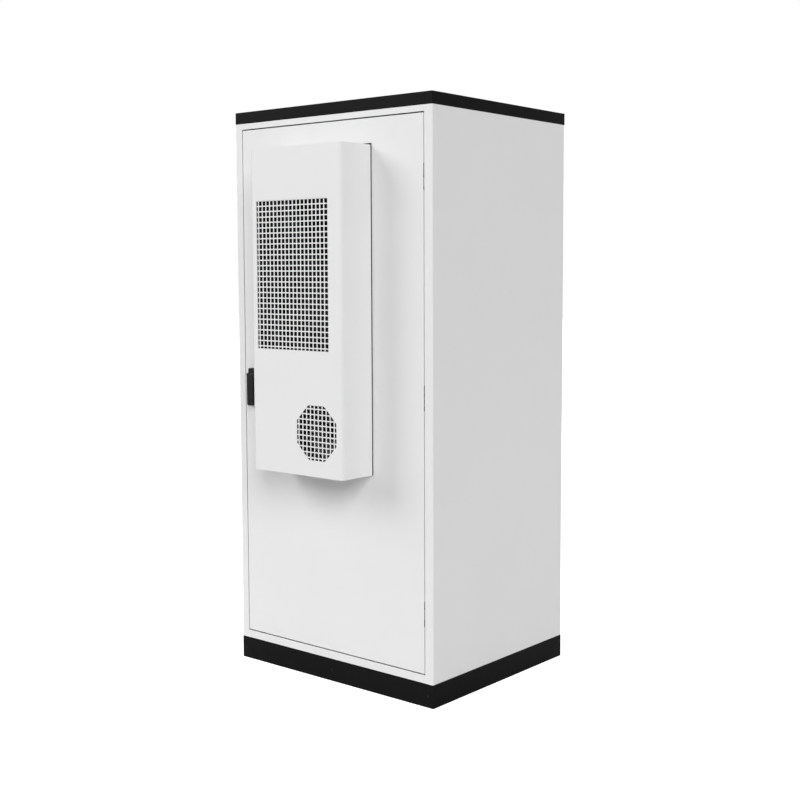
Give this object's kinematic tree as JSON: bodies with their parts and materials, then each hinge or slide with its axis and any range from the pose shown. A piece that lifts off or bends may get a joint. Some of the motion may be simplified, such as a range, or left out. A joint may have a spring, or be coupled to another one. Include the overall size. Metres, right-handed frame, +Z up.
{
  "type": "battery cabinet",
  "caption": "Outdoor battery cabinet with a flush front door that carries an air conditioner and a swing handle, on a black plinth, with racked battery modules inside.",
  "frame": {"origin": "centre of the cabinet's footprint on the floor, which is the centre of the four floor anchors", "axes": "+Z up, +X to the right as seen from the front, the front door faces -Y"},
  "size_m": [0.92, 0.8995, 2],
  "materials": {
    "white_paint": "satin",
    "zinc_sheet": "satin",
    "black_paint": "matte",
    "black_screws": "satin",
    "steel": "polished",
    "black_plastic": "satin",
    "white_plastic": "satin",
    "grey_plastic": "satin",
    "rubber": "matte",
    "foam": "matte",
    "module_case": "satin",
    "copper": "polished",
    "fins": "satin",
    "compressor_paint": "satin",
    "red_plastic": "gloss",
    "red_paint": "gloss",
    "lamp": "gloss"
  },
  "bodies": {
    "cabinet": {"battery_module_1": "module_case", "battery_module_2": "module_case", "battery_module_3": "module_case", "battery_module_4": "module_case", "bottom_rail": "white_paint", "cabin_lamp": "lamp", "cable_glands": "black_plastic", "control_box": "module_case", "cover_screws": "black_screws", "door_frame": "white_paint", "door_switch": "black_plastic", "earth_stud": "copper", "fire_canister": "red_paint", "floor_plate": "zinc_sheet", "gland_plate": "zinc_sheet", "hinge_frame_leaves": "zinc_sheet", "hinge_pins": "steel", "left_panel": "white_paint", "link_bars": "copper", "module_handles": "black_plastic", "plinth_corners": "zinc_sheet", "plinth_covers": "black_paint", "rack_uprights": "zinc_sheet", "rear_panel": "white_paint", "right_panel": "white_paint", "rod_keepers": "black_plastic", "roof_cover": "black_paint", "shelf_rails": "zinc_sheet", "smoke_detector": "white_plastic", "top_plate": "zinc_sheet", "top_rail": "white_paint", "wall_insulation": "foam"},
    "door": {"door_panel": "white_paint", "door_stiffener": "white_paint", "door_seal": "rubber", "door_insulation": "foam", "door_liner": "zinc_sheet", "hinge_door_leaves": "zinc_sheet", "rod_guides": "black_plastic", "handle_base": "black_plastic", "air_louvres": "black_plastic", "document_pocket": "grey_plastic", "ac_gasket": "rubber", "ac_backplate": "white_paint", "ac_cover": "white_paint", "ac_screens": "white_paint", "condenser_coil": "fins", "evaporator_coil": "fins", "compressor": "compressor_paint", "fan_motor": "black_plastic"},
    "spindle": {"handle_spindle": "steel"},
    "lever": {"handle_lever": "black_plastic"},
    "lock": {"lock_cylinder": "steel"},
    "upper_latch": {"upper_rod": "zinc_sheet"},
    "lower_latch": {"lower_rod": "zinc_sheet"},
    "fan": {"condenser_fan": "black_plastic"},
    "blower": {"blower_wheel": "black_plastic"},
    "isolator": {"isolator_handle": "black_plastic"},
    "stop": {"stop_button": "red_plastic"},
    "plunger": {"switch_plunger": "white_plastic"}
  },
  "joints": [
    {"name": "door_hinge", "type": "hinge", "parent": "cabinet", "child": "door", "pos_m": [0.397, -0.359, 1.023], "axis": [0, 0, 1], "range_deg": [0, 115]},
    {"name": "handle_turn", "type": "hinge", "parent": "door", "child": "spindle", "pos_m": [-0.379, -0.38, 1.0615], "axis": [0, -1, 0], "range_deg": [0, 90]},
    {"name": "lever_tilt", "type": "hinge", "parent": "spindle", "child": "lever", "pos_m": [-0.379, -0.3935, 1.0615], "axis": [-1, 0, 0], "range_deg": [0, 20]},
    {"name": "lock_turn", "type": "hinge", "parent": "lever", "child": "lock", "pos_m": [-0.379, -0.3935, 0.971], "axis": [0, -1, 0], "range_deg": [0, 90]},
    {"name": "upper_latch_slide", "type": "slide", "parent": "door", "child": "upper_latch", "axis": [0, 0, -1], "range_m": [0, 0.01717]},
    {"name": "lower_latch_slide", "type": "slide", "parent": "door", "child": "lower_latch", "axis": [0, 0, 1], "range_m": [0, 0.01717]},
    {"name": "fan_spin", "type": "hinge", "parent": "door", "child": "fan", "pos_m": [0.082, -0.5, 0.897], "axis": [0, -1, 0], "continuous": true},
    {"name": "blower_spin", "type": "hinge", "parent": "door", "child": "blower", "pos_m": [-0.012, -0.415, 1.095], "axis": [1, 0, 0], "continuous": true},
    {"name": "isolator_turn", "type": "hinge", "parent": "cabinet", "child": "isolator", "pos_m": [-0.19, -0.26, 1.573], "axis": [0, -1, 0], "range_deg": [0, 90]},
    {"name": "stop_press", "type": "slide", "parent": "cabinet", "child": "stop", "axis": [0, 1, 0], "range_m": [0, 0.006], "stiffness_N_per_m": 400},
    {"name": "switch_press", "type": "slide", "parent": "cabinet", "child": "plunger", "axis": [0, 1, 0], "range_m": [0, 0.006], "stiffness_N_per_m": 150}
  ],
  "couplings": [
    {"joint": "upper_latch_slide", "follows": "handle_turn", "m_per_rad": 0.010804},
    {"joint": "lower_latch_slide", "follows": "handle_turn", "m_per_rad": 0.010804}
  ]
}
